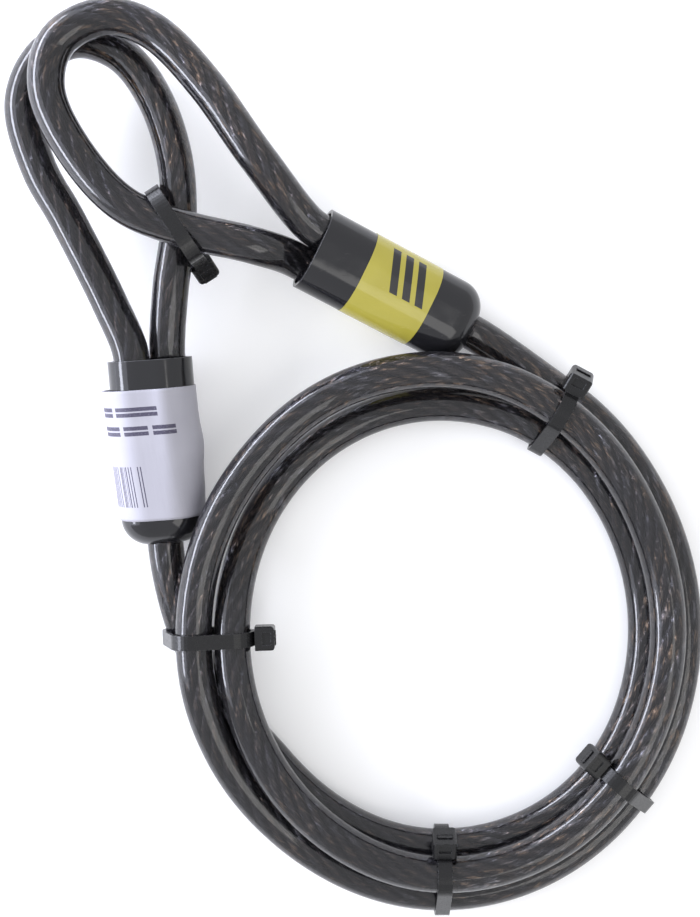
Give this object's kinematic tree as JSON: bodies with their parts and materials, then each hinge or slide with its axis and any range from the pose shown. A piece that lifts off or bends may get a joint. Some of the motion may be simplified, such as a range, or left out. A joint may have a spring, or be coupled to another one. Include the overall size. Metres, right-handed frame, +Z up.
{
  "type": "looped steel security cable",
  "caption": "Coiled double-loop steel cable in a clear dark jacket, with crimped eyes under moulded covers, held by cable ties, for locking a bicycle with a padlock.",
  "frame": {"origin": "middle of the coil, on the surface that the coil lies on", "axes": "+Z up, square to the coil; +Y from the coil towards the side where both eyes lie; +X to the right seen from above"},
  "size_m": [0.2325, 0.3008, 0.0414],
  "materials": {
    "jacket": "clear smoked, glossy",
    "steel_rope": "bright twisted strands",
    "ferrule": "pressed, satin",
    "cover": "glossy black",
    "paper": "matt white",
    "band": "glossy yellow film",
    "tie": "satin black nylon"
  },
  "bodies": {
    "coil": {"jacket_coil": "jacket", "rope_coil": "steel_rope", "tie_left": "tie", "tie_top_right": "tie", "tie_lower_right": "tie", "tie_bottom": "tie"},
    "eyes": {"jacket_eye_a": "jacket", "jacket_eye_b": "jacket", "rope_eye_a": "steel_rope", "rope_eye_b": "steel_rope", "ferrule_a": "ferrule", "ferrule_b": "ferrule", "cover_a": "cover", "cover_b": "cover", "label_a_paper": "paper", "label_b_band": "band", "tie_crossing": "tie"},
    "pawl_of_tie_left": {"pawl_left": "tie"},
    "pawl_of_tie_top_right": {"pawl_top_right": "tie"},
    "pawl_of_tie_lower_right": {"pawl_lower_right": "tie"},
    "pawl_of_tie_bottom": {"pawl_bottom": "tie"},
    "pawl_of_tie_crossing": {"pawl_crossing": "tie"}
  },
  "joints": [
    {"name": "eyes_flex", "type": "hinge", "parent": "coil", "child": "eyes", "pos_m": [-0.093, 0.0288, 0.0107], "axis": [0.8209, 0.5711, -0.0048], "range_deg": [-6, 10]},
    {"name": "pawl_left_lift", "type": "hinge", "parent": "coil", "child": "pawl_of_tie_left", "pos_m": [-0.05738, -0.002, 0.01682], "axis": [0.0349, -0.9994, 0], "range_deg": [0, 10]},
    {"name": "pawl_top_right_lift", "type": "hinge", "parent": "coil", "child": "pawl_of_tie_top_right", "pos_m": [0.04396, 0.08268, 0.02539], "axis": [-0.8829, 0.4695, 0], "range_deg": [0, 10]},
    {"name": "pawl_lower_right_lift", "type": "hinge", "parent": "coil", "child": "pawl_of_tie_lower_right", "pos_m": [0.04739, -0.0412, 0.01898], "axis": [0.6561, 0.7547, 0], "range_deg": [0, 10]},
    {"name": "pawl_bottom_lift", "type": "hinge", "parent": "coil", "child": "pawl_of_tie_bottom", "pos_m": [0, -0.06699, 0.02024], "axis": [1, 0, 0], "range_deg": [0, 10]},
    {"name": "pawl_crossing_lift", "type": "hinge", "parent": "eyes", "child": "pawl_of_tie_crossing", "pos_m": [-0.07888, 0.11899, 0.01345], "axis": [0.8387, 0.5446, 0], "range_deg": [0, 10]}
  ]
}
